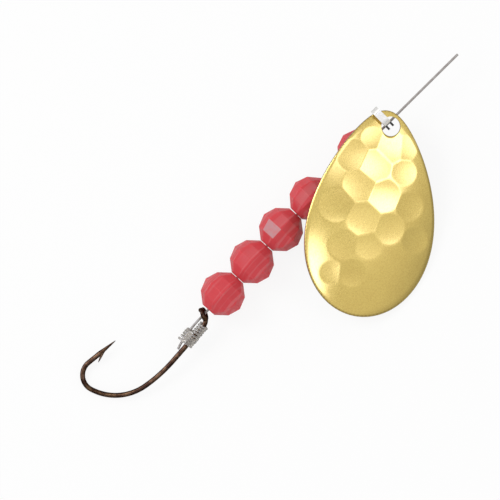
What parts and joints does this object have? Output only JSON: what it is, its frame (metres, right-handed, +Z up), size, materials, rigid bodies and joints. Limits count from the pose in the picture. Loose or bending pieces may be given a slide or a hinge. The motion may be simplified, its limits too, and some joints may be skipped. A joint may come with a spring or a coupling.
{
  "type": "snelled spinner rig",
  "caption": "A snelled fishing spinner rig: a dished, dimpled blade on a strap clevis, a row of faceted beads, and a single barbed hook, all on one nylon leader",
  "frame": {"origin": "On the surface that the rig lies on, below the middle of the rig without its leader.", "axes": "+X runs along the leader from the hook towards the free end, +Y towards the side of the hook's point, +Z up."},
  "size_m": [0.065, 0.026, 0.0077],
  "materials": {
    "hook_wire": "bronzed hook wire, dark brown, satin",
    "line": "clear grey nylon monofilament",
    "beads": "clear red moulded plastic, polished facets",
    "clevis": "bright nickel plate",
    "blade": "gold-plated brass, hammered and polished"
  },
  "bodies": {
    "rig": {"hook": "hook_wire", "leader": "line", "snell_wraps": "line"},
    "bead_1": {"bead_1": "beads"},
    "bead_2": {"bead_2": "beads"},
    "bead_3": {"bead_3": "beads"},
    "bead_4": {"bead_4": "beads"},
    "bead_5": {"bead_5": "beads"},
    "clevis": {"clevis": "clevis"},
    "blade": {"blade": "blade"}
  },
  "joints": [
    {"name": "bead_1_spin", "type": "hinge", "parent": "rig", "child": "bead_1", "pos_m": [-0.00563, 0.00503, 0.00296], "axis": [1, 0, 0], "continuous": true},
    {"name": "bead_2_spin", "type": "hinge", "parent": "rig", "child": "bead_2", "pos_m": [0.00002, 0.00503, 0.00296], "axis": [1, 0, 0], "continuous": true},
    {"name": "bead_3_spin", "type": "hinge", "parent": "rig", "child": "bead_3", "pos_m": [0.00567, 0.00503, 0.00296], "axis": [1, 0, 0], "continuous": true},
    {"name": "bead_4_spin", "type": "hinge", "parent": "rig", "child": "bead_4", "pos_m": [0.01132, 0.00479, 0.00296], "axis": [0.9983, -0.0576, 0], "continuous": true},
    {"name": "bead_5_spin", "type": "hinge", "parent": "rig", "child": "bead_5", "pos_m": [0.02006, 0.00428, 0.00296], "axis": [0.9983, -0.0576, 0], "continuous": true},
    {"name": "clevis_revolve", "type": "hinge", "parent": "rig", "child": "clevis", "pos_m": [0.02522, 0.00398, 0.00296], "axis": [0.9983, -0.0576, 0], "continuous": true},
    {"name": "blade_flare", "type": "hinge", "parent": "clevis", "child": "blade", "pos_m": [0.02519, 0.00343, 0.00596], "axis": [0.0557, 0.9662, 0.2518], "range_deg": [0, 20]}
  ]
}
